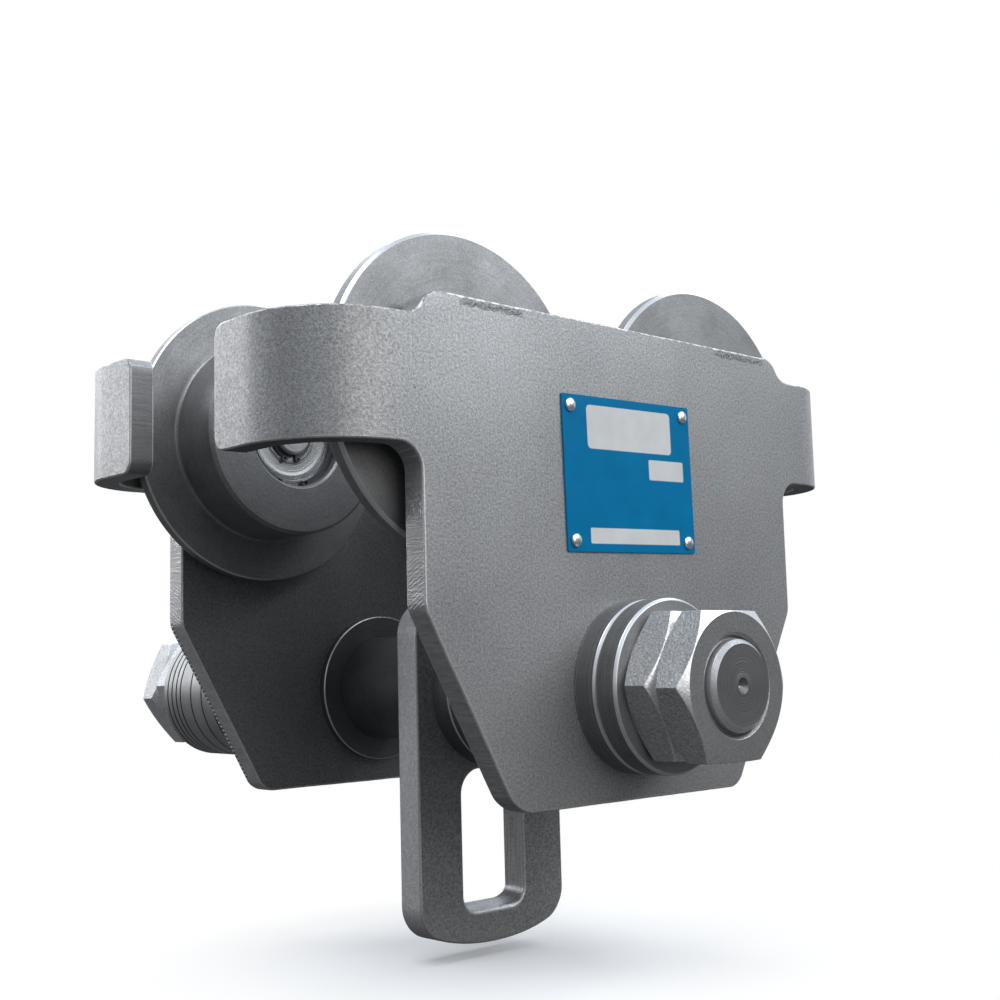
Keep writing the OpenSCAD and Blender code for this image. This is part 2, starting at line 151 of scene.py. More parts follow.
# Heights between which its waist starts, and between which the gaps in its rims come in
WAIST_FADE = (-44 * MM, -40 * MM)
GAP_FADE = (55 * MM, 75 * MM)
# Places along it: where its ears start, and the two stretches of its top edge that were ground
EAR_FADE = (130 * MM, 150 * MM)
GROUND_DOWN = ((-99 * MM, -62 * MM), (68 * MM, 109 * MM))
GROUND_FADE = 3 * MM
# Spacing of the flame's marks, and how much it took off all round
HATCH_PITCH = 1.9 * MM
SCALLOP_PITCH = 2.1 * MM
FLAME_BITE = 0.08 * MM
# Where the cut edges are left smooth around the bar's hole, and how far apart the points of an outline are
HOLE_ZONE = 30 * MM
FOOT_ZONE = 15 * MM
PLATE_STEP = 1.7 * MM
LINK_STEP = 2.0 * MM

# Bare fields on the data plate: x and z of the middle, width, height and corner radius, in millimetres
BARE_FIELDS = [
    (0.7, 21.1, 56.7, 19.7, 2.2),
    (24.8, 3.5, 24.4, 9.4, 0.8),
    (1.8, -27.7, 60.4, 7.0, 0.7),
]

CORNERS = {
    "front_left": (-1, -1),
    "front_right": (1, -1),
    "rear_left": (-1, 1),
    "rear_right": (1, 1),
}


# Node-based finishes


class Graph:
    """A tree of nodes that are added and joined one by one."""

    def __init__(self, tree):
        self.tree = tree

    def node(self, kind, **settings):
        made = self.tree.nodes.new(kind)
        for name, value in settings.items():
            setattr(made, name, value)
        return made

    def join(self, source, target):
        self.tree.links.new(source, target)

    def axes(self, vector):
        """The X, Y and Z of a vector."""
        parts = self.node("ShaderNodeSeparateXYZ")
        self.join(vector, parts.inputs["Vector"])
        return parts.outputs

    def span(self, value, low, high, to_low=0.0, to_high=1.0, curve="LINEAR"):
        """Maps low to high onto to_low to to_high, and holds the ends."""
        made = self.node("ShaderNodeMapRange", interpolation_type=curve)
        for name, number in (("From Min", low), ("From Max", high), ("To Min", to_low), ("To Max", to_high)):
            made.inputs[name].default_value = number
        self.join(value, made.inputs["Value"])
        return made.outputs["Result"]

    def maths(self, operation, a, b=0.0):
        made = self.node("ShaderNodeMath", operation=operation)
        for socket, value in zip(made.inputs, (a, b)):
            if isinstance(value, (int, float)):
                socket.default_value = value
            else:
                self.join(value, socket)
        return made.outputs["Value"]

    def times(self, a, b):
        return self.maths("MULTIPLY", a, b)

    def between(self, value, start, full, fading, end):
        """1 from full to fading, and 0 before start and after end."""
        return self.times(self.span(value, start, full), self.span(value, fading, end, 1.0, 0.0))

    def mixed(self, *parts):
        """The sum of some values, each times its own share."""
        total = None
        for value, share in parts:
            part = self.times(value, share)
            total = part if total is None else self.maths("ADD", total, part)
        return total

    def blend(self, share, a, b):
        """Colour a for a share of 0, colour b for a share of 1."""
        made = self.node("ShaderNodeMix", data_type="RGBA")
        for name, value in (("Factor", share), ("A", a), ("B", b)):
            socket = next(s for s in made.inputs if s.name == name and (s.type == "RGBA") == (name != "Factor"))
            if isinstance(value, (tuple, float, int)):
                socket.default_value = (*value, 1.0) if isinstance(value, tuple) else value
            else:
                self.join(value, socket)
        return next(s for s in made.outputs if s.type == "RGBA")


class Finish(Graph):
    """A material that is built up node by node."""

    def __init__(self, name, metallic, roughness=0.5):
        self.material = bpy.data.materials.new(name)
        self.material.use_nodes = True
        super().__init__(self.material.node_tree)
        self.shader = self.tree.nodes["Principled BSDF"]
        self.shader.inputs["Metallic"].default_value = metallic
        self.shader.inputs["Roughness"].default_value = roughness
        self.coords = self.node("ShaderNodeTexCoord").outputs["Object"]

    def attribute(self, name):
        return self.node("ShaderNodeAttribute", attribute_name=name).outputs["Vector"]

    def stretched(self, vector, scale, turn=(0, 0, 0)):
        mapping = self.node("ShaderNodeMapping")
        mapping.inputs["Scale"].default_value = scale
        mapping.inputs["Rotation"].default_value = turn
        self.join(vector, mapping.inputs["Vector"])
        return mapping.outputs["Vector"]

    def grain(self, scale, detail, rough, vector=None, twist=0.0):
        """Noise over the piece, or over a vector of its own."""
        made = self.node("ShaderNodeTexNoise")
        made.inputs["Scale"].default_value = scale
        made.inputs["Detail"].default_value = detail
        made.inputs["Roughness"].default_value = rough
        made.inputs["Distortion"].default_value = twist
        self.join(self.coords if vector is None else vector, made.inputs["Vector"])
        return made.outputs["Fac"]

    def pits(self, scale):
        made = self.node("ShaderNodeTexVoronoi")
        made.inputs["Scale"].default_value = scale
        self.join(self.coords, made.inputs["Vector"])
        return made.outputs["Distance"]

    def colour(self, socket):
        self.join(socket, self.shader.inputs["Base Color"])

    def gloss(self, socket):
        self.join(socket, self.shader.inputs["Roughness"])

    def relief(self, height, depth, strength=1.0, below=None):
        bump = self.node("ShaderNodeBump")
        bump.inputs["Strength"].default_value = strength
        bump.inputs["Distance"].default_value = depth
        self.join(height, bump.inputs["Height"])
        if below is not None:
            self.join(below, bump.inputs["Normal"])
        return bump.outputs["Normal"]

    def normal(self, socket):
        self.join(socket, self.shader.inputs["Normal"])


def grey(level, tint=0.0):
    """A grey that is a little blue for a tint above 0 and a little warm below it."""
    return (level * (1 - tint), level, level * (1 + tint))


def blasted_paint(name, dark, light, metallic=0.5, roughness=0.40, coarse=1.0, coat=0.0, ground=(), broken=0.0):
    """Thin grey metallic paint over blasted steel. A top edge can be ground, and high up a rim can have gaps."""
    f = Finish(name, metallic)
    patches = f.grain(16, 3, 0.6)
    speckle = f.grain(820, 3, 0.75)
    dust = f.grain(1900, 2, 0.7)
    tone = f.mixed((patches, 0.16), (speckle, 0.54), (dust, 0.30))
    base = f.blend(f.span(tone, 0.37, 0.63), grey(dark), grey(light))
    along, _, height = f.axes(f.attribute("flat"))
    if broken:
        gaps = f.span(f.grain(210, 3, 0.75), 0.44, 0.58, broken, 0.0)
        base = f.blend(f.times(gaps, f.span(height, *GAP_FADE)), base, grey(dark * 0.35))
    pocks = f.pits(150)
    where = f.grain(30, 2, 0.6)
    marks = f.times(f.span(pocks, 0.05, 0.11, 1.0, 0.0), f.span(where, 0.57, 0.66))
    base = f.blend(f.times(marks, 0.7), base, grey(dark * 0.35))
    top = f.relief(f.grain(26, 2, 0.5), 0.35 * MM * coarse, 0.4)
    top = f.relief(speckle, 0.15 * MM * coarse, 0.9, top)
    if ground:
        ragged = f.times(f.grain(230, 4, 0.8), 6 * MM)
        rows = f.span(f.maths("ADD", height, ragged), PLATE_TOP - 1.4 * MM, PLATE_TOP + 0.6 * MM)
        spots = f.grain(560, 3, 0.8)
        for start, end in ground:
            there = f.times(f.between(along, start, start + GROUND_FADE, end - GROUND_FADE, end), rows)
            base = f.blend(f.times(there, f.span(spots, 0.46, 0.60, 0.0, 0.7)), base, grey(dark * 0.6))
            top = f.relief(f.times(there, spots), 0.9 * MM, 1.0, top)
    f.colour(base)
    f.gloss(f.span(tone, 0.38, 0.62, roughness + 0.08, roughness - 0.06))
    f.normal(f.relief(f.maths("SUBTRACT", dust, marks), 0.08 * MM * coarse, 0.9, top))
    f.shader.inputs["Coat Weight"].default_value = coat
    f.shader.inputs["Coat Roughness"].default_value = 0.2
    return f.material


def flame_cut(name, dark, light, scalloped=False):
    """A plate's edge as the flame left it: a hatched stretch, a sparkling one, faint lines elsewhere."""
    f = Finish(name, 0.5)
    flat = f.attribute("flat")
    along, depth, height = f.axes(flat)
    speckle = f.grain(900, 2, 0.7)
    lines = f.grain(900, 2, 0.6, f.stretched(flat, (1, 0.08, 1), (0.10, 0, 0.10)))
    quiet = f.mixed((lines, 0.5), (speckle, 0.5))
    wobble = f.times(f.grain(170, 2, 0.6), 9.0)
    slant = f.maths("ADD", height, f.times(depth, 0.55))
    strokes = f.maths("SINE", f.maths("ADD", f.times(slant, math.tau / HATCH_PITCH), wobble))
    strokes = f.times(f.span(strokes, 0.35, 0.95), f.span(f.grain(260, 2, 0.6), 0.40, 0.60, 0.15, 1.0))
    strokes = f.times(strokes, f.between(height, *HATCHED))
    sparks = f.span(f.grain(700, 2, 0.7, twist=0.6), 0.53, 0.64)
    sparks = f.times(sparks, f.between(height, *SPARKLING))
    faint = f.times(f.span(lines, 0.55, 0.68), f.span(height, *WAIST_FADE, 0.10, 0.35))
    bright = f.maths("MAXIMUM", f.maths("MAXIMUM", strokes, sparks), faint)
    on_ear = f.span(f.maths("ABSOLUTE", along), *EAR_FADE)
    bright = f.times(bright, f.maths("SUBTRACT", 1.0, on_ear))
    base = f.blend(f.span(quiet, 0.38, 0.62), grey(dark, -0.01), grey(dark * 1.4))
    base = f.blend(f.times(on_ear, 0.7), base, grey(0.10))
    base = f.blend(bright, base, grey(light))
    relief = f.maths("ADD", f.times(quiet, 0.7), bright)
    if scalloped:
        rim = f.times(f.span(depth, 1.6 * MM, 3.2 * MM, 1.0, 0.0), f.span(height, *WAIST_FADE, 1.0, 0.0))
        wave = f.span(f.maths("SINE", f.times(height, math.tau / SCALLOP_PITCH)), -0.6, 0.6)
        base = f.blend(f.times(rim, f.span(wave, 0, 1, 0.85, 0.0)), base, grey(dark * 0.25))
        relief = f.maths("ADD", relief, f.times(f.times(rim, wave), 2.0))
    f.colour(base)
    f.gloss(f.span(bright, 0.0, 1.0, 0.46, 0.34))
    f.normal(f.relief(relief, 0.30 * MM, 0.9))
    return f.material


def drawn_wall(name, dark, light):
    """The wall of the link's slot: long lines from the cutter with fine chatter across them."""
    f = Finish(name, 0.6)
    flat = f.attribute("flat")
    lines = f.grain(900, 2, 0.6, f.stretched(flat, (0.05, 1, 0.05)))
    chatter = f.grain(1500, 2, 0.6, f.stretched(flat, (1, 0.12, 1)))
    tone = f.mixed((lines, 0.5), (chatter, 0.25), (f.grain(900, 2, 0.7), 0.25))
    f.colour(f.blend(f.span(tone, 0.38, 0.62), grey(dark), grey(light)))
    f.gloss(f.span(tone, 0.38, 0.62, 0.42, 0.32))
    f.normal(f.relief(tone, 0.22 * MM, 0.8))
    return f.material


def turned_steel(name, dark, light, metallic=0.6, roughness=0.4, rings=1.0, speckled=1.0, ring_scale=900):
    """Steel off the lathe: fine rings around the piece's own axis, under a blasted or plated grain."""
    f = Finish(name, metallic)
    radius, along, _ = f.axes(f.attribute("turned"))
    ring = f.node("ShaderNodeTexNoise", noise_dimensions="1D")
    ring.inputs["Scale"].default_value = ring_scale
    ring.inputs["Detail"].default_value = 3
    f.join(f.maths("ADD", radius, along), ring.inputs["W"])
    speckle = f.grain(1300, 2, 0.7)
    cloud = f.grain(45, 3, 0.6)
    tone = f.mixed((ring.outputs["Fac"], 0.35 * rings), (speckle, 0.4 * speckled), (cloud, 0.35))
    middle = (0.35 * rings + 0.4 * speckled + 0.35) / 2
    f.colour(f.blend(f.span(tone, middle - 0.16, middle + 0.16), grey(dark), grey(light)))
    f.gloss(f.span(tone, middle - 0.2, middle + 0.2, roughness + 0.08, roughness - 0.06))
    low = f.relief(ring.outputs["Fac"], 0.12 * MM * rings, 0.6)
    f.normal(f.relief(f.maths("ADD", speckle, f.grain(380, 2, 0.6)), 0.06 * MM * speckled, 0.7, low))
    return f.material


def forged_hex(name, dark, light, metallic=0.6, roughness=0.40, pebbled=1.0):
    """The pebbled skin of a forged and plated nut."""
    f = Finish(name, metallic)
    pebble = f.grain(900, 3, 0.75)
    tone = f.mixed((pebble, 0.8), (f.grain(60, 2, 0.5), 0.2))
    f.colour(f.blend(f.span(tone, 0.38, 0.62), grey(dark), grey(light)))
    f.gloss(f.span(tone, 0.38, 0.62, roughness + 0.06, roughness - 0.06))
    low = f.relief(pebble, 0.34 * MM * pebbled, 0.9)
    f.normal(f.relief(f.pits(620), 0.14 * MM * pebbled, 0.7, low))
    return f.material


def plain_metal(name, colour, metallic, roughness):
    """Ground or blackened metal with a fine grain and soft smears."""
    f = Finish(name, metallic)
    grain = f.grain(900, 2, 0.6)
    smear = f.grain(40, 3, 0.6, f.stretched(f.coords, (1, 3, 1)))
    tone = f.mixed((grain, 0.4), (smear, 0.6))
    dark, light = tuple(c * 0.8 for c in colour), tuple(min(1.0, c * 1.12) for c in colour)
    f.colour(f.blend(f.span(tone, 0.35, 0.65), dark, light))
    f.gloss(f.span(tone, 0.3, 0.7, roughness + 0.07, roughness - 0.05))
    f.normal(f.relief(grain, 0.03 * MM, 0.6))
    return f.material


def printed_plate(name):
    """Blue printed aluminium with bare white fields."""
    f = Finish(name, 0.0)
    x, _, z = f.axes(f.attribute("label"))

    def beyond(value, middle, half):
        """How far a place is outside a stretch around the middle."""
        away = f.maths("ABSOLUTE", f.maths("SUBTRACT", value, middle * MM))
        return f.maths("MAXIMUM", f.maths("SUBTRACT", away, half * MM), 0.0)

    fields = 0.0
    for middle_x, middle_z, w, h, r in BARE_FIELDS:
        across, along = beyond(x, middle_x, w / 2 - r), beyond(z, middle_z, h / 2 - r)
        away = f.maths("SQRT", f.maths("ADD", f.times(across, across), f.times(along, along)))
        fields = f.maths("MAXIMUM", fields, f.span(away, (r - 0.12) * MM, (r + 0.12) * MM, 1.0, 0.0))
    cloud = f.span(f.grain(60, 3, 0.6), 0.3, 0.7)
    dust = f.grain(700, 2, 0.6)
    blue = f.blend(cloud, (0.001, 0.150, 0.325), (0.001, 0.175, 0.375))
    white = f.blend(cloud, (0.58, 0.59, 0.58), (0.66, 0.67, 0.66))
    f.colour(f.blend(fields, blue, white))
    f.gloss(f.span(dust, 0.3, 0.8, 0.40, 0.48))
    low = f.relief(f.grain(40, 2, 0.5), 0.25 * MM, 0.4)
    f.normal(f.relief(dust, 0.015 * MM, 0.5, low))
    f.shader.inputs["Specular IOR Level"].default_value = 0.05
    return f.material


def weld_metal(name):
    """The scaly skin of a weld bead under thin paint."""
    f = Finish(name, 0.5)
    scale = f.grain(500, 3, 0.7)
    burn = f.grain(120, 3, 0.6)
    f.colour(f.blend(f.span(burn, 0.35, 0.65), grey(0.12, -0.03), grey(0.28)))
    f.gloss(f.span(scale, 0.3, 0.7, 0.55, 0.35))
    f.normal(f.relief(scale, 0.25 * MM, 0.7))
    return f.material


PAINT = blasted_paint("plate_paint", 0.17, 0.44, coat=0.15, ground=GROUND_DOWN)
# A darker copy of the plate paint for the faces inside the trolley: painted shade
INSIDE_PAINTED_SHADE = blasted_paint("plate_inside_painted_shade", 0.10, 0.27)
# A lighter paint finish for the cut edges that face up: painted sky light on the top edges
TOP_EDGE_PAINTED_LIGHT = blasted_paint("plate_top_edge_painted_light", 0.22, 0.46)
# Lighter, glossier paint on the rounded rims: partly worn paint, partly a painted highlight along the edges
WORN_RIM_AND_HIGHLIGHT = blasted_paint("plate_worn_rim_and_painted_highlight", 0.40, 0.66, metallic=0.6, roughness=0.34, broken=0.85)
EDGE = flame_cut("plate_cut_edge", 0.26, 0.70)
# The rear plate's cut edge is a lighter copy of the front one: painted light; its scallops are real marks
REAR_EDGE_PAINTED_LIGHT = flame_cut("rear_plate_cut_edge_painted_light", 0.38, 0.80, scalloped=True)
LINK_PAINT = blasted_paint("link_paint", 0.15, 0.46, coarse=1.3)
LINK_EDGE = blasted_paint("link_edge", 0.34, 0.66)
# Lighter, glossier paint on the link's rounded rims: partly worn paint, partly a painted highlight
LINK_RIM_HIGHLIGHT = blasted_paint("link_worn_rim_and_painted_highlight", 0.34, 0.65, metallic=0.7, roughness=0.32)
SLOT_WALL = drawn_wall("link_slot_wall", 0.28, 0.62)
WHEEL_STEEL = turned_steel("wheel_steel", 0.15, 0.31, rings=0.35, speckled=1.2, ring_scale=500)
# Lighter, glossier steel on the flange's bevel: a painted highlight round the rim
WHEEL_RIM_HIGHLIGHT = turned_steel("wheel_rim_bevel_painted_highlight", 0.50, 0.75, metallic=0.8, roughness=0.30, rings=0.3, speckled=0.5)
WASHER_STEEL = turned_steel("washer_steel", 0.115, 0.25, rings=0.9, speckled=0.9, ring_scale=800)
SPARE_STEEL = turned_steel("spare_washer_steel", 0.22, 0.42, rings=0.9, speckled=0.9, ring_scale=800)
# Near-black steel for the spare washers' edge bevels: painted shade in the grooves between them
SPARE_GROOVE_SHADE = turned_steel("spare_washer_groove_painted_shade", 0.02, 0.05, metallic=0.3, roughness=0.6, rings=0.3, speckled=0.5)
WASHER_FACE = turned_steel("washer_face", 0.20, 0.38, rings=0.5, speckled=1.0, ring_scale=700)
# Lighter, glossier steel on the washers' rim bevels: a painted highlight
WASHER_RIM_HIGHLIGHT = turned_steel("washer_rim_bevel_painted_highlight", 0.55, 0.80, metallic=0.85, roughness=0.30, rings=0.3, speckled=0.5)
# A darker steel for the spacer tubes and the washers between the plates: painted shade inside the trolley
TUBE_STEEL_PAINTED_SHADE = turned_steel("tube_steel_painted_shade", 0.08, 0.18, rings=0.6, speckled=0.8)
BAR_END = turned_steel(
    "bar_end_steel", 0.16, 0.34, metallic=0.8, roughness=0.32, rings=1.2, speckled=0.5, ring_scale=1600,
)
# A lighter copy of the bar's steel for its turned side: painted light, brighter than the faced end
BAR_SIDE_PAINTED_LIGHT = turned_steel("bar_turned_side_painted_light", 0.34, 0.62, roughness=0.36, rings=0.6, speckled=1.2)
NUT_FLATS = forged_hex("nut_flats", 0.29, 0.54, metallic=0.4, roughness=0.38, pebbled=1.6)
# A lighter copy of the nuts' forged skin for the rear nuts: painted light on the far side
REAR_NUT_FLATS_PAINTED_LIGHT = forged_hex("rear_nut_flats_painted_light", 0.42, 0.72, metallic=0.4, roughness=0.38, pebbled=1.6)
NUT_FACE = forged_hex("nut_faced", 0.22, 0.34, roughness=0.36, pebbled=0.25)
# Lighter, glossier skin on the nuts' chamfer cones: a painted highlight
NUT_BEVEL_HIGHLIGHT = forged_hex("nut_bevel_painted_highlight", 0.55, 0.75, metallic=0.8, roughness=0.30, pebbled=0.2)
RACE_STEEL = turned_steel(
    "race_steel", 0.30, 0.50, metallic=0.9, roughness=0.26, rings=0.8, speckled=0.2, ring_scale=1500,
)
PIN_STEEL = turned_steel("pin_steel", 0.26, 0.44, metallic=0.85, roughness=0.33, rings=0.9, speckled=0.4)
WELD = weld_metal("pin_weld")
CLIP_STEEL = plain_metal("circlip_steel", (0.10, 0.10, 0.11), 0.75, 0.38)
LABEL = printed_plate("data_plate_print")
RIVET_METAL = plain_metal("rivet_aluminium", (0.74, 0.74, 0.75), 0.9, 0.26)


# Making pieces


def finished(bm, name, body, materials, replaced, sharp=34):
    """Turns a bmesh into a piece of the trolley that rides on a body."""
    mesh = bpy.data.meshes.new(name)
    bm.to_mesh(mesh)
    bm.free()
    for material in materials:
        mesh.materials.append(material)
    mesh.shade_smooth()
    mesh.set_sharp_from_angle(angle=math.radians(sharp))
    piece = bpy.data.objects.new(name, mesh)
    bpy.context.scene.collection.objects.link(piece)
    weighted = piece.modifiers.new("even_shading", "WEIGHTED_NORMAL")
    weighted.keep_sharp = True
    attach(piece, body)
    if replaced:
        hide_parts(*replaced)


def soften(bm, width, angle=28):
    """Rounds the edges where faces meet at more than an angle."""
    limit = math.radians(angle)
    chosen = [e for e in bm.edges if len(e.link_faces) == 2 and e.calc_face_angle(0) > limit]
    bmesh.ops.bevel(
        bm, geom=chosen, offset=width, offset_type="OFFSET", segments=2, profile=0.5,
        affect="EDGES", material=-1, clamp_overlap=True,
    )


def cut_across(bm, place, normal):
    """Gives every face that a plane crosses an edge there."""
    everything = bm.verts[:] + bm.edges[:] + bm.faces[:]
    bmesh.ops.bisect_plane(bm, geom=everything, dist=1e-6, plane_co=place, plane_no=normal)


def thicken(bm, depth):
    """Gives a face in XZ its thickness along Y."""
    grown = bmesh.ops.extrude_face_region(bm, geom=bm.faces[:], use_keep_orig=True)
    moved = [g for g in grown["geom"] if isinstance(g, bmesh.types.BMVert)]
    bmesh.ops.translate(bm, verts=moved, vec=(0, depth, 0))
    bmesh.ops.recalc_face_normals(bm, faces=bm.faces)


def spin_round(bm, points, steps):
    """Joins points into a closed loop and turns it once around the Y axis."""
    loop = [bm.edges.new((points[i - 1], points[i])) for i in range(len(points))]
    bmesh.ops.spin(
        bm, geom=points + loop, cent=(0, 0, 0), axis=(0, 1, 0), dvec=(0, 0, 0), angle=math.tau,
        steps=steps, use_merge=True, use_normal_flip=False, use_duplicate=False,
    )


def turned(profile, centre, side, steps, edge=0.0):
    """Turns a closed profile of (radius, distance along Y) around an axis through centre."""
    bm = bmesh.new()
    spin_round(bm, [bm.verts.new((r, side * y, 0)) for r, y in profile], steps)
    bmesh.ops.remove_doubles(bm, verts=bm.verts, dist=1e-6)
    bmesh.ops.dissolve_degenerate(bm, edges=bm.edges, dist=1e-7)
    bmesh.ops.recalc_face_normals(bm, faces=bm.faces)
    if edge:
        soften(bm, edge)
    layer = bm.verts.layers.float_vector.new("turned")
    for v in bm.verts:
        v[layer] = (math.hypot(v.co.x, v.co.z), v.co.y, 0)
    bmesh.ops.translate(bm, verts=bm.verts, vec=Vector(centre))
    return bm


def on_bevel(face, centre, inner_r):
    """Whether a turned piece's face slopes, and is further out than inner_r."""
    return 0.2 < abs(face.normal.y) < 0.97 and math.hypot(*(face.calc_center_median() - centre).xz) > inner_r


def ring_profile(bore, rim, y0, y1, bore_edge, rim_edge):
    """The section of a plain ring with broken edges."""
    return [
        (bore, y0 + bore_edge), (bore + bore_edge, y0), (rim - rim_edge, y0), (rim, y0 + rim_edge),
        (rim, y1 - rim_edge), (rim - rim_edge, y1), (bore + bore_edge, y1), (bore, y1 - bore_edge),
    ]


def outline(corners):
    """A face in XZ from (x, z, length to where its curve starts, steps) corners."""
    bm = bmesh.new()
    points = [bm.verts.new((x, 0, z)) for x, z, _, _ in corners]
    bm.faces.new(points)
    for point, (_, _, set_back, steps) in zip(points, corners):
        bmesh.ops.bevel(
            bm, geom=[point], offset=set_back, offset_type="OFFSET", segments=steps, profile=0.5,
            affect="VERTICES", material=-1, clamp_overlap=False,
        )
    return bm


def even_steps(bm, spacing):
    """Cuts the outline's long edges into even steps."""
    for e in list(bm.edges):
        cuts = int(e.calc_length() / spacing)
        if cuts:
            bmesh.ops.subdivide_edges(bm, edges=[e], cuts=cuts)


RIM_ANGLES = [math.radians(a) for a in (0, 30, 60, 90)]
WALL_ROWS = 2 * len(RIM_ANGLES) + 2

# The order of the finishes on a side plate. The link has the first two in common with it
FACE, CUT, RIM, TOP, INSIDE = range(5)


def is_wall(face):
    """Whether a face of a slab is part of its cut edges."""
    return abs(face.normal.y) < 0.5


def slab(bm, holes, thickness, spacing):
    """Gives an outline its holes, its thickness towards +Y and rows of faces on the cut edges."""
    even_steps(bm, spacing)
    for hole in holes:
        even_steps(hole, spacing)
        copied = {v: bm.verts.new(v.co) for v in hole.verts}
        for e in hole.edges:
            bm.edges.new([copied[v] for v in e.verts])
        hole.free()
    bmesh.ops.delete(bm, geom=bm.faces[:], context="FACES_ONLY")
    bmesh.ops.triangle_fill(bm, use_beauty=True, use_dissolve=False, edges=bm.edges[:], normal=(0, -1, 0))
    thicken(bm, thickness)
    for f in bm.faces:
        if is_wall(f):
            f.material_index = CUT
    across = [e for e in bm.edges if abs(e.verts[0].co.y - e.verts[1].co.y) > thickness / 2]
    bmesh.ops.subdivide_edges(bm, edges=across, cuts=WALL_ROWS - 2, use_grid_fill=True)
    return bm


def bar_hole(r, steps):
    """The rim of the hole that the load bar goes through, in XZ."""
    bm = bmesh.new()
    bmesh.ops.create_circle(bm, cap_ends=False, segments=steps, radius=r)
    bmesh.ops.rotate(bm, verts=bm.verts, cent=(0, 0, 0), matrix=Matrix.Rotation(math.pi / 2, 3, "X"))
    bmesh.ops.translate(bm, verts=bm.verts, vec=(0, 0, BAR_Z))
    return bm


def wall_directions(bm):
    """For each vertex of the cut edges, which way is out of the plate."""
    out = {}
    for v in bm.verts:
        push = Vector((0, 0, 0))
        for f in v.link_faces:
            if is_wall(f):
                push += f.normal * f.calc_area()
        if push.length > 0:
            out[v] = push.normalized()
    return out


def round_rims(bm, thickness, rim, finish):
    """Gathers the rows of a slab's walls into a rounded rim at each face, with a finish of its own."""
    near = [(rim * (1 - math.cos(a)), rim * (1 - math.sin(a))) for a in RIM_ANGLES]
    rows = near + [(thickness * 0.38, 0.0), (thickness * 0.62, 0.0)] + [(thickness - y, i) for y, i in near[::-1]]
    walls = [f for f in bm.faces if is_wall(f)]
    for v, out in wall_directions(bm).items():
        y, inset = rows[round(v.co.y / thickness * (WALL_ROWS - 1))]
        v.co -= Vector((out.x, 0, out.z)) * inset
        v.co.y = y
    for f in walls:
        if min(f.calc_center_median().y, thickness - f.calc_center_median().y) < rim:
            f.material_index = finish
    bm.normal_update()


# Side plates


def plate_corners():
    """The blank's corners from the middle of its foot round to the left, and how far each curve reaches."""
    slant = math.atan2(WAIST_Z - PLATE_FOOT, PLATE_HALF_W - FOOT_HALF_W)
    drop = PLATE_TOP - EAR_TOP
    step_turn = 2 * math.atan(drop / STEP_RUN)
    step_reach = STEP_RUN / (2 * math.sin(step_turn)) * math.tan(step_turn / 2)
    half = [
        (FOOT_HALF_W, PLATE_FOOT, None, 8),
        (PLATE_HALF_W, WAIST_Z, WAIST_R * math.tan((math.pi / 2 - slant) / 2), 6),
        (PLATE_HALF_W, EAR_FOOT, EAR_FILLET_R, 10),
        (None, EAR_FOOT, EAR_CORNER_R, 6),
        (None, EAR_TOP, EAR_CORNER_R, 6),
        (STEP_START + STEP_RUN - step_reach, EAR_TOP, step_reach * 0.998, 8),
        (STEP_START + step_reach, PLATE_TOP, step_reach * 0.998, 8),
    ]

    def side(sign, foot_r, ear_x):
        return [
            (sign * (ear_x if x is None else x), z, foot_r * math.tan(slant / 2) if reach is None else reach, steps)
            for x, z, reach, steps in half
        ]

    right = side(1, RIGHT_FOOT_R, blank_half(RIGHT_BEND_R, RIGHT_EAR_END))
    left = side(-1, LEFT_FOOT_R, blank_half(LEFT_BEND_R, LEFT_EAR_END))
    return right + left[::-1]


def bend_stretch(bend_r):
    """Where an ear's bend starts along the flat blank, and its length there."""
    return HALF_L - PLATE_T - bend_r, math.pi / 2 * (bend_r + PLATE_T / 2)


def blank_half(bend_r, ear_end):
    """Half the length of the flat blank, for an ear that is bent to that radius and ends there."""
    bend_x, length = bend_stretch(bend_r)
    return bend_x + length + PLATE_IN - bend_r - ear_end


def bent(x, y, bend_r):
    """Where a point of the flat blank goes when its ear is bent: x from the middle, y into the plate."""
    bend_x, _ = bend_stretch(bend_r)
    if x <= bend_x:
        return x, y - PLATE_OUT
    r = bend_r + PLATE_T - y
    centre = -PLATE_IN + bend_r
    turn = (x - bend_x) / (bend_r + PLATE_T / 2)
    if turn < math.pi / 2:
        return bend_x + r * math.sin(turn), centre - r * math.cos(turn)
    return bend_x + r, centre + (turn - math.pi / 2) * (bend_r + PLATE_T / 2)


def rough_edge(co, out, seed):
    """How far the cutting flame left a point of the edge proud or low."""
    along = Vector((co.x * 260, co.y * 30, co.z * 260)) + Vector((seed, 0, seed))
    wide = Vector((co.x * 55, co.y * 12, co.z * 55)) + Vector((seed, 5, 0))
    rough = noise.noise(along) * 0.07 * MM + noise.noise(wide) * 0.10 * MM
    rim = max(0.0, 1 - co.y / (5 * MM))
    if out.z > 0.9 and any(low < co.x < high for low, high in GROUND_DOWN):
        chips = noise.noise(Vector((co.x * 330, 3.1 + seed, 0)))
        rough -= rim * (0.15 + 0.7 * max(0.0, chips)) * MM
    return rough


BEND_STEPS = 24


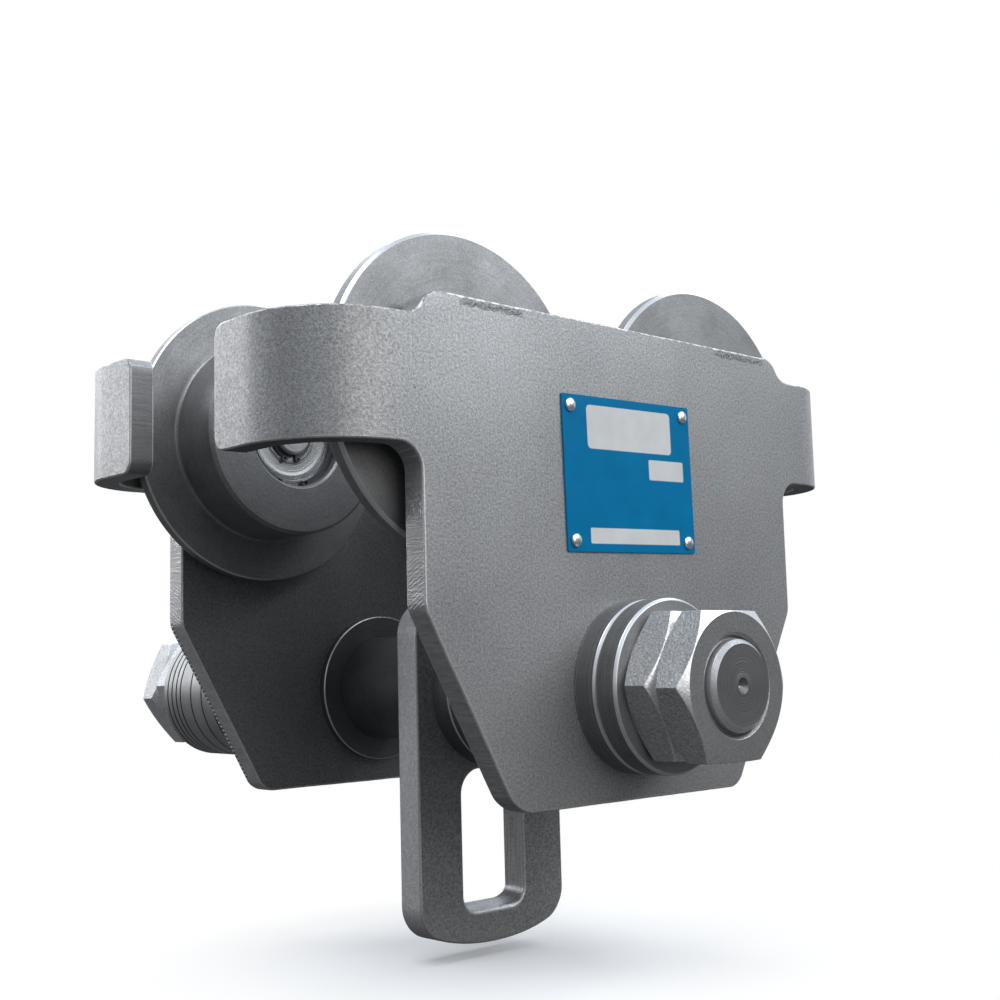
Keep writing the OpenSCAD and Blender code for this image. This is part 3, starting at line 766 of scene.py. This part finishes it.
def side_plate(name, node, turn, seed, edge):
    """A flame-cut side plate, made flat and then bent at both ends."""
    bm = slab(outline(plate_corners()), [bar_hole(BAR_HOLE_R, 72)], PLATE_T, PLATE_STEP)
    for v, out in wall_directions(bm).items():
        in_hole = abs(v.co.x) <= HOLE_ZONE and PLATE_FOOT + FOOT_ZONE <= v.co.z <= BAR_Z + HOLE_ZONE
        if out.z > 0.99 or not in_hole:
            v.co += out * (rough_edge(v.co, out, seed) - FLAME_BITE)
    # Cut edges that face up take the lighter finish: painted sky light
    for f in bm.faces:
        if f.normal.z > 0.3 and f.material_index == CUT:
            f.material_index = TOP
    # The rims take the lighter rim finish: worn paint with a painted highlight
    round_rims(bm, PLATE_T, PLATE_RIM_W, RIM)
    # Faces that look into the trolley take the darker paint: painted shade between the plates
    for f in bm.faces:
        if f.normal.y > 0.7 and f.material_index == FACE:
            f.material_index = INSIDE
    layer = bm.verts.layers.float_vector.new("flat")
    for side, bend_r in ((-1, LEFT_BEND_R), (1, RIGHT_BEND_R)):
        start, length = bend_stretch(bend_r)
        for i in range(BEND_STEPS + 1):
            cut_across(bm, (side * (start + length * i / BEND_STEPS), 0, 0), (1, 0, 0))
    for v in bm.verts:
        v[layer] = v.co
        side = -1 if v.co.x < 0 else 1
        x, y = bent(abs(v.co.x), v.co.y, LEFT_BEND_R if side < 0 else RIGHT_BEND_R)
        v.co = (side * x, y, v.co.z)
    if turn:
        bmesh.ops.rotate(bm, verts=bm.verts, cent=(0, 0, 0), matrix=Matrix.Rotation(math.pi, 3, "Z"))
    finished(bm, name, "frame", [PAINT, edge, WORN_RIM_AND_HIGHLIGHT, TOP_EDGE_PAINTED_LIGHT, INSIDE_PAINTED_SHADE], [node])


side_plate("front_plate_finished", "front_side_plate", False, 0.0, EDGE)
side_plate("rear_plate_finished", "rear_side_plate", True, 13.0, REAR_EDGE_PAINTED_LIGHT)


# Wheels, bearings and pins

WHEEL_PROFILE = [
    (HUB_HOLE_R, WHEEL_OUT),
    (FLANGE_R - FLANGE_BEVEL, WHEEL_OUT),
    (FLANGE_R, WHEEL_OUT - FLANGE_BEVEL),
    (FLANGE_R, FLANGE_IN + FLANGE_BEVEL / 2),
    (FLANGE_R - FLANGE_BEVEL / 2, FLANGE_IN),
    (TREAD_R + 2.0 * MM, FLANGE_IN),
    (TREAD_R + 0.9 * MM, FLANGE_IN - 0.35 * MM),
    (TREAD_R + 0.25 * MM, FLANGE_IN - 1.1 * MM),
    (TREAD_R, FLANGE_IN - 2.2 * MM),
    (TREAD_R, WHEEL_IN + 1.5 * MM),
    (TREAD_R - 1.5 * MM, WHEEL_IN),
    (BEARING_R + 1.2 * MM, WHEEL_IN),
    (BEARING_R + SEAT_SEAM, WHEEL_IN + 1.2 * MM),
    (BEARING_R + SEAT_SEAM, BEARING_IN - BORE_CLIP_T),
    (BEARING_R + GROOVE, BEARING_IN - BORE_CLIP_T),
    (BEARING_R + GROOVE, BEARING_IN),
    (BEARING_R + SEAT_SEAM, BEARING_IN),
    (BEARING_R + SEAT_SEAM, BEARING_OUT),
    (HUB_HOLE_R, BEARING_OUT),
]
SHIELD_R = RACE_GAP_IN + 0.08 * MM
OUTER_RACE_PROFILE = [
    (SHIELD_R, BEARING_IN + 0.5 * MM),
    (RACE_GAP_OUT - 3.4 * MM, BEARING_IN + 0.5 * MM),
    (RACE_GAP_OUT - 2.8 * MM, BEARING_IN + 0.15 * MM),
    (RACE_GAP_OUT - 1.0 * MM, BEARING_IN + 0.15 * MM),
    (RACE_GAP_OUT - 0.4 * MM, BEARING_IN + 0.6 * MM),
    (RACE_GAP_OUT + 0.3 * MM, BEARING_IN + 0.6 * MM),
    (RACE_GAP_OUT + 0.5 * MM, BEARING_IN),
    (BEARING_R - 0.6 * MM, BEARING_IN),
    (BEARING_R, BEARING_IN + 0.6 * MM),
    (BEARING_R, BEARING_OUT - 0.6 * MM),
    (BEARING_R - 0.6 * MM, BEARING_OUT),
    (RACE_GAP_OUT, BEARING_OUT),
    (SHIELD_R, BEARING_OUT - 0.5 * MM),
]
INNER_RACE_PROFILE = [
    (JOURNAL_R + SEAT_SEAM, BEARING_IN + 0.5 * MM),
    (JOURNAL_R + 0.5 * MM, BEARING_IN),
    (RACE_GAP_IN - 0.5 * MM, BEARING_IN),
    (RACE_GAP_IN, BEARING_IN + 0.4 * MM),
    (RACE_GAP_IN, BEARING_OUT - 0.4 * MM),
    (RACE_GAP_IN - 0.5 * MM, BEARING_OUT),
    (JOURNAL_R + SEAT_SEAM, BEARING_OUT),
]
PIN_CLIP_AT = BEARING_IN - PIN_CLIP_T
PIN_TIP = PIN_CLIP_AT - 3 * MM
PIN_PROFILE = [
    (0, PLATE_IN + PIN_SEAT),
    (SHOULDER_R, PLATE_IN + PIN_SEAT),
    (SHOULDER_R, BEARING_OUT + 0.8 * MM),
    (SHOULDER_R - 0.8 * MM, BEARING_OUT),
    (JOURNAL_R, BEARING_OUT),
    (JOURNAL_R, BEARING_IN),
    (JOURNAL_R - GROOVE, BEARING_IN),
    (JOURNAL_R - GROOVE, PIN_CLIP_AT),
    (JOURNAL_R, PIN_CLIP_AT),
    (JOURNAL_R, PIN_TIP + 1 * MM),
    (JOURNAL_R - 1 * MM, PIN_TIP),
    (2.4 * MM, PIN_TIP),
    (0, PIN_TIP + 2.2 * MM),
]


def weld_bead(centre, side, seed):
    """The rippled bead that holds a pin's shoulder to its plate."""
    bm = bmesh.new()
    corner = Vector((SHOULDER_R, PLATE_IN, 0))
    points = []
    for i in range(7):
        a = math.pi / 2 * i / 6
        reach = WELD_LEG * (0.80 + 0.10 * math.sin(2 * a))
        points.append(bm.verts.new(corner + Vector((math.cos(a), -math.sin(a), 0)) * reach))
    points.append(bm.verts.new(corner + Vector((-0.5 * MM, 0.5 * MM, 0))))
    spin_round(bm, points, 240)
    for v in bm.verts:
        angle = math.atan2(v.co.z, v.co.x)
        r = math.hypot(v.co.x, v.co.z)
        away = Vector((r - SHOULDER_R, v.co.y - PLATE_IN))
        if away.length < 1.5 * MM:
            continue
        scallop = 1 - abs(math.sin(angle * 22 + away.x * 320 + seed))
        wander = noise.noise(Vector((angle * 2.2, seed, 0)))
        grow = 1 + 0.07 * (scallop - 0.5) + 0.10 * wander
        r = SHOULDER_R + away.x * grow
        v.co = (r * math.cos(angle), PLATE_IN + away.y * grow, r * math.sin(angle))
    for v in bm.verts:
        v.co.y *= side
    bmesh.ops.remove_doubles(bm, verts=bm.verts, dist=1e-6)
    bmesh.ops.recalc_face_normals(bm, faces=bm.faces)
    bmesh.ops.translate(bm, verts=bm.verts, vec=centre)
    return bm


for index, (corner, (side_x, side_y)) in enumerate(CORNERS.items()):
    centre = Vector((side_x * AXLE_X, 0, AXLE_Z))
    rolling = f"wheel_{corner}_body"
    wheel = turned(WHEEL_PROFILE, centre, side_y, 160, 0.25 * MM)
    # The flange's bevel takes the lighter steel: painted highlight
    for f in wheel.faces:
        if on_bevel(f, centre, FLANGE_R - FLANGE_BEVEL):
            f.material_index = 1
    finished(wheel, f"wheel_{corner}_finished", rolling, [WHEEL_STEEL, WHEEL_RIM_HIGHLIGHT], [f"wheel_{corner}"])
    for race, body, profile in (("outer", rolling, OUTER_RACE_PROFILE), ("inner", "frame", INNER_RACE_PROFILE)):
        piece = turned(profile, centre, side_y, 96)
        replaced = [f"bearing_{race}_race_{corner}"]
        finished(piece, f"{race}_race_{corner}_finished", body, [RACE_STEEL], replaced)
    pin = turned(PIN_PROFILE, centre, side_y, 96, 0.15 * MM)
    finished(pin, f"axle_pin_{corner}_finished", "frame", [PIN_STEEL], [f"axle_pin_{corner}"])
    bead = weld_bead(centre, side_y, index * 2.3)
    finished(bead, f"pin_weld_{corner}", "frame", [WELD], [], 60)


# Load bar, washers, tubes and nuts


def bar_centre(node):
    """A piece's axis: where it crosses XZ, and its ends along Y."""
    low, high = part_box(node)
    return Vector(((low.x + high.x) / 2, 0, (low.z + high.z) / 2)), low.y, high.y


def from_bar(face):
    """How far a face's middle is from the load bar's axis."""
    middle = face.calc_center_median()
    return math.hypot(middle.x, middle.z - BAR_Z)


def load_bar():
    """The threaded bar, with faced, chamfered and centre-drilled ends."""
    _, y0, y1 = bar_centre("load_bar")
    end_r = BAR_END_R - BAR_BEVEL
    rings = []
    for i in range(1, 15):
        r = 4.2 * MM + (end_r - 4.6 * MM) * i / 15
        rings += [(r, y0), (r + 0.4 * MM, y0 + 0.10 * MM)]
    drilling = [(0, y0 + 3.6 * MM), (1.3 * MM, y0 + 2.6 * MM), (3.4 * MM, y0)]
    bevel = [
        (end_r, y0),
        (BAR_END_R - 0.25 * MM, y0 + BAR_BEVEL - 0.4 * MM),
        (BAR_END_R, y0 + BAR_BEVEL + 0.2 * MM),
    ]
    step = [(BAR_END_R, y0 + BAR_END_L), (BAR_R, y0 + BAR_END_L + BAR_R - BAR_END_R)]
    front = drilling + rings + bevel + step
    rear = [(r, y0 + y1 - y) for r, y in front]
    bm = turned(front + rear[::-1], (0, 0, BAR_Z), 1, 128)
    for f in bm.faces:
        # The turned side takes the lighter copy: painted light
        if from_bar(f) > end_r:
            f.material_index = 1
    return bm


finished(load_bar(), "load_bar_finished", "frame", [BAR_END, BAR_SIDE_PAINTED_LIGHT], ["load_bar"])

for index, node in enumerate(sorted(n for n in nodes if "washer" in n)):
    centre, y0, y1 = bar_centre(node)
    spare, inside = node.startswith("spare"), abs(y0 + y1) / 2 < PLATE_IN
    rim_edge = (0.5 if spare or inside else 1.0 + 0.15 * math.sin(index * 2.1)) * MM
    bore = SPARE_BORE_R if spare else WASHER_BORE_R
    washer = turned(ring_profile(bore, WASHER_R, y0, y1, 0.5 * MM, rim_edge), centre, 1, 128, 0.2 * MM)
    for f in washer.faces:
        # The rim bevels take the lighter steel: painted highlight
        if on_bevel(f, centre, WASHER_R - 2 * MM):
            f.material_index = 1
        elif abs(f.normal.y) > 0.97:
            f.material_index = 2
    finishes = [WASHER_STEEL, WASHER_RIM_HIGHLIGHT, WASHER_FACE]
    # Spare washers' bevels take the near-black steel: painted shade in the grooves
    if spare:
        finishes = [SPARE_STEEL, SPARE_GROOVE_SHADE, WASHER_FACE]
    # Washers between the plates take the tube's darker steel: painted shade
    elif inside:
        finishes = [TUBE_STEEL_PAINTED_SHADE, WASHER_RIM_HIGHLIGHT, TUBE_STEEL_PAINTED_SHADE]
    finished(washer, f"{node}_finished", "frame", finishes, [node])

for node in ("front_spacer_tube", "rear_spacer_tube"):
    centre, y0, y1 = bar_centre(node)
    tube = turned(ring_profile(TUBE_BORE_R, TUBE_R, y0, y1, 0.4 * MM, 0.4 * MM), centre, 1, 96)
    finished(tube, f"{node}_finished", "frame", [TUBE_STEEL_PAINTED_SHADE], [node])


def forged_nut(node):
    """A nut from its CAD shape, with worn corners; its turned faces get material 1, its bevels 2."""
    bm = bmesh.new()
    bm.from_mesh(nodes[node].data)
    bmesh.ops.remove_doubles(bm, verts=bm.verts, dist=1e-6)
    bmesh.ops.dissolve_limit(bm, angle_limit=math.radians(0.6), verts=bm.verts, edges=bm.edges)
    for f in bm.faces:
        if abs(f.normal.y) > 0.98 or from_bar(f) < BAR_R + 1.5 * MM:
            f.material_index = 1
        # Chamfer faces take the lighter bevel skin: painted highlight
        elif abs(f.normal.y) > 0.2:
            f.material_index = 2
    soften(bm, 0.35 * MM, 18)
    return bm


for node in ("front_inner_nut", "front_outer_nut", "rear_inner_nut", "rear_outer_nut"):
    nut = forged_nut(node)
    # The rear nuts take the lighter copy: painted light
    flats = REAR_NUT_FLATS_PAINTED_LIGHT if node.startswith("rear") else NUT_FLATS
    finished(nut, f"{node}_finished", "frame", [flats, NUT_FACE, NUT_BEVEL_HIGHLIGHT], [node], 25)


# Lifting link


def link_outline():
    """The link's corners, and how far each curve reaches. Both ends are crowned alike."""
    corner_x = LINK_HALF_W - LINK_CORNER_R
    crown_turn = math.asin(corner_x / (LINK_CROWN_R - LINK_CORNER_R))
    above_crown = LINK_CROWN_R / math.cos(crown_turn) - LINK_CROWN_R
    corner_drop = LINK_HALF_W * math.tan(crown_turn)
    corner_set = LINK_CORNER_R * math.tan((math.pi / 2 - crown_turn) / 2)
    crown_set = LINK_CROWN_R * math.tan(crown_turn)
    corners = []
    for side, height in ((-1, LINK_L), (1, LINK_HEAD)):
        apex = height + above_crown
        end = [
            (side * LINK_HALF_W, side * (apex - corner_drop), corner_set * 0.999, 10),
            (0, side * apex, crown_set * 0.999, 24),
            (-side * LINK_HALF_W, side * (apex - corner_drop), corner_set * 0.999, 10),
        ]
        corners += end
    return [(x, BAR_Z + z, reach, steps) for x, z, reach, steps in corners]


# The places of the last two of the link's finishes
IN_SLOT, ON_RIM = 2, 3


def lifting_link():
    """The link with its bore, its slot and the hollow that a hook has worn in the slot's floor."""
    low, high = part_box("lifting_link")
    thickness = high.y - low.y
    floor = low.z + SLOT_FLOOR
    middle = floor + SLOT_H / 2
    slot = outline([
        (-SLOT_HALF_W, floor, SLOT_R, 10),
        (SLOT_HALF_W, floor, SLOT_R, 10),
        (SLOT_HALF_W, floor + SLOT_H, SLOT_TOP_R, 10),
        (-SLOT_HALF_W, floor + SLOT_H, SLOT_TOP_R, 10),
    ])
    bm = slab(outline(link_outline()), [slot, bar_hole(LINK_BORE_R, 96)], thickness, LINK_STEP)
    for f in bm.faces:
        at = f.calc_center_median()
        in_slot = abs(at.x) < SLOT_HALF_W + MM and abs(at.z - middle) < SLOT_H / 2 + MM
        if f.material_index == CUT and in_slot:
            f.material_index = IN_SLOT
    for v in bm.verts:
        if any(f.material_index == IN_SLOT for f in v.link_faces):
            worn = max(0.0, 1 - (v.co.z - floor) / SLOT_R)
            v.co.z += worn * (3.6 * v.co.y / thickness + 0.3) * MM
    round_rims(bm, thickness, LINK_RIM_W, ON_RIM)
    layer = bm.verts.layers.float_vector.new("flat")
    for v in bm.verts:
        v[layer] = v.co
        v.co.y += low.y
    return bm


LINK_FINISHES = [LINK_PAINT, LINK_EDGE, SLOT_WALL, LINK_RIM_HIGHLIGHT]
finished(lifting_link(), "lifting_link_finished", "link_body", LINK_FINISHES, ["lifting_link"])


# Data plate


def data_plate():
    """A thin printed plate, not quite flat, turned a little as it was riveted on."""
    w, h = DATA_W / 2, DATA_H / 2
    bm = outline([(x, z, DATA_CORNER, 5) for x, z in ((w, -h), (w, h), (-w, h), (-w, -h))])
    thicken(bm, -DATA_T)
    soften(bm, 0.2 * MM, 50)
    for i in range(1, 16):
        cut_across(bm, (-w + DATA_W * i / 16, 0, 0), (1, 0, 0))
        cut_across(bm, (0, 0, -h + DATA_H * i / 16), (0, 0, 1))
    layer = bm.verts.layers.float_vector.new("label")
    for v in bm.verts:
        v[layer] = v.co
        if v.co.y < -DATA_T * 0.5:
            bow = noise.noise(Vector((v.co.x * 45, 2.0, v.co.z * 45)))
            v.co.y += 0.12 * MM * bow + 0.12 * MM
    bmesh.ops.transform(bm, matrix=DATA_PLACE, verts=bm.verts)
    return bm


def rivets():
    """Four drive rivets: domed heads on shanks that go into the side plate."""
    bm = bmesh.new()
    brim = -DATA_T - RIVET_BRIM
    profile = [(0, RIVET_SHANK_L), (RIVET_SHANK_R, RIVET_SHANK_L), (RIVET_SHANK_R, -DATA_T)]
    profile += [(RIVET_R, -DATA_T), (RIVET_R, brim)]
    for i in range(1, 8):
        a = math.pi / 2 * i / 8
        profile.append((RIVET_R * math.cos(a) + 0.02 * MM, brim - RIVET_DOME * math.sin(a)))
    profile.append((0, brim - RIVET_DOME))
    for x in (-RIVET_X, RIVET_X):
        for z in (-RIVET_Z, RIVET_Z):
            head = turned(profile, (x, 0, z), 1, 40)
            mesh = bpy.data.meshes.new("rivet_head")
            head.to_mesh(mesh)
            head.free()
            bm.from_mesh(mesh)
            bpy.data.meshes.remove(mesh)
    bmesh.ops.transform(bm, matrix=DATA_PLACE, verts=bm.verts)
    return bm


finished(data_plate(), "data_plate_finished", "frame", [LABEL], ["data_plate"], 40)
finished(rivets(), "data_plate_rivets_finished", "frame", [RIVET_METAL], ["data_plate_rivets"], 40)

# The circlips keep their CAD shape
for node in nodes.values():
    if not node.hide_render:
        node.data.materials.clear()
        node.data.materials.append(CLIP_STEEL)


# Floor, light and camera

FLOOR_HALF = 8
FLOOR_DROP = 5 * MM
CAMERA_PLACE = Vector((-467.26 * MM, -519.12 * MM, -62.75 * MM))
CAMERA_TURN = [math.radians(a) for a in (42.833, 6.510, -1.535)]
CAMERA_LENS = 49.755
WALL_HEADING = (0.68, 0.73, 0.0)
DIM_HEADING = (-0.988, -0.049, 0.148)
LEFT_HEADING = (-0.85, 0.49, 0.17)
FRONT_HEADING = (-0.62, -0.76, 0.20)
SKY_TINT = (0.80, 0.88, 1.0)
# Name, place, size, power and colour of each soft lamp
LAMPS = [
    ("lamp_above", (-0.75, -0.20, 1.45), 1.1, 15, (0.92, 0.96, 1.0)),
    ("lamp_left", (-0.65, 1.22, 0.50), 1.0, 6.5, (0.98, 0.99, 1.0)),
    ("lamp_front", (0.84, -1.07, 0.85), 1.0, 10.6, (0.90, 0.95, 1.0)),
    ("lamp_low_front", (-0.10, -1.50, 0.50), 1.3, 8, (1.0, 0.99, 0.97)),
    ("lamp_right", (1.25, 0.30, 1.35), 1.1, 7, (0.92, 0.96, 1.0)),
    ("lamp_behind", (0.45, 1.45, 0.80), 1.1, 9, (0.94, 0.97, 1.0)),
]


def surround(world):
    """White to the camera. To the object it is a yard: a pale wall behind, a dim corner at the left, sky overhead."""
    world.use_nodes = True
    g = Graph(world.node_tree)
    heading = g.node("ShaderNodeTexCoord").outputs["Generated"]
    _, _, up = g.axes(heading)
    rays = g.node("ShaderNodeLightPath").outputs

    def risen(*numbers):
        return g.span(up, *numbers, "SMOOTHSTEP")

    def towards(way, *numbers):
        made = g.node("ShaderNodeVectorMath", operation="DOT_PRODUCT")
        g.join(heading, made.inputs[0])
        made.inputs[1].default_value = way
        return g.span(made.outputs["Value"], *numbers, "SMOOTHSTEP")

    room = g.times(risen(-0.1, 0.6, 0.10, 0.50), towards(DIM_HEADING, 0.9, 0.998, 1.0, 0.1))
    room = g.maths("ADD", room, towards(FRONT_HEADING, 0.7, 0.98, 0.0, 0.3))
    wall = g.times(towards(WALL_HEADING, 0.15, 0.55, 0.0, 1.0), risen(-0.05, 0.12, 0.2, 1.0))
    wall = g.maths("MAXIMUM", wall, towards(LEFT_HEADING, 0.86, 0.97, 0.0, 0.9))
    sky = g.times(g.maths("MAXIMUM", wall, risen(0.30, 0.75, 0.0, 1.0)), rays["Is Glossy Ray"])
    seen = g.maths("MAXIMUM", g.maths("MAXIMUM", room, sky), rays["Is Camera Ray"])
    white = g.maths("MAXIMUM", risen(-0.05, 0.40, 1.0, 0.0), rays["Is Camera Ray"])
    light = g.tree.nodes["Background"]
    g.join(seen, light.inputs["Strength"])
    g.join(g.blend(white, SKY_TINT, (1, 1, 1)), light.inputs["Color"])


def floor_finish():
    """Pale, with the object's shadow on it near the object, and white further off."""
    f = Finish("floor_pale", 0.0, 0.9)
    camera_ray = f.node("ShaderNodeLightPath").outputs["Is Camera Ray"]
    far = f.node("ShaderNodeVectorMath", operation="LENGTH")
    f.join(f.stretched(f.coords, (1, 1, 0)), far.inputs[0])
    away = f.span(far.outputs["Value"], 0.05, 0.17)
    base = f.blend(f.span(f.grain(3, 2, 0.5), 0.3, 0.7), grey(0.09), grey(0.11))
    f.colour(f.blend(camera_ray, base, f.blend(away, grey(0.86), grey(0.0))))
    f.shader.inputs["Specular IOR Level"].default_value = 0.0
    f.shader.inputs["Emission Color"].default_value = (1, 1, 1, 1)
    f.join(f.times(camera_ray, f.span(away, 0, 1, 0.05, 1.0)), f.shader.inputs["Emission Strength"])
    return f.material


def studio():
    """A pale floor, the surround and the soft lamps."""
    scene = bpy.context.scene
    scene.view_settings.view_transform = "Standard"
    bm = bmesh.new()
    bmesh.ops.create_grid(bm, x_segments=1, y_segments=1, size=FLOOR_HALF)
    bmesh.ops.translate(bm, verts=bm.verts, vec=(0, 0, cad_low.z - FLOOR_DROP))
    mesh = bpy.data.meshes.new("floor")
    bm.to_mesh(mesh)
    bm.free()
    floor = bpy.data.objects.new("floor", mesh)
    scene.collection.objects.link(floor)
    mesh.materials.append(floor_finish())
    scene.world = bpy.data.worlds.new("surround")
    surround(scene.world)
    for name, place, size, power, colour in LAMPS:
        lamp = bpy.data.lights.new(name, "AREA")
        lamp.shape = "DISK"
        lamp.size = size
        lamp.energy = power
        lamp.color = colour
        holder = bpy.data.objects.new(name, lamp)
        holder.location = place
        holder.rotation_euler = (-Vector(place)).to_track_quat("-Z", "Y").to_euler()
        scene.collection.objects.link(holder)


def camera():
    """The photograph's standpoint, low and to the left of the front plate."""
    place = CAMERA_PLACE
    yaw, pitch, roll = CAMERA_TURN
    ahead = Vector((math.sin(yaw) * math.cos(pitch), math.cos(yaw) * math.cos(pitch), math.sin(pitch)))
    right = Vector((math.cos(yaw), -math.sin(yaw), 0))
    up = right.cross(ahead)
    across = right * math.cos(roll) + up * math.sin(roll)
    above = up * math.cos(roll) - right * math.sin(roll)
    lens = bpy.data.cameras.new("photo_camera")
    lens.sensor_width = 36
    lens.lens = CAMERA_LENS
    lens.clip_start = 0.01
    view = bpy.data.objects.new("photo_camera", lens)
    view.matrix_world = Matrix((
        (across.x, above.x, -ahead.x, place.x),
        (across.y, above.y, -ahead.y, place.y),
        (across.z, above.z, -ahead.z, place.z),
        (0, 0, 0, 1),
    ))
    bpy.context.scene.collection.objects.link(view)
    bpy.context.scene.camera = view


studio()
camera()
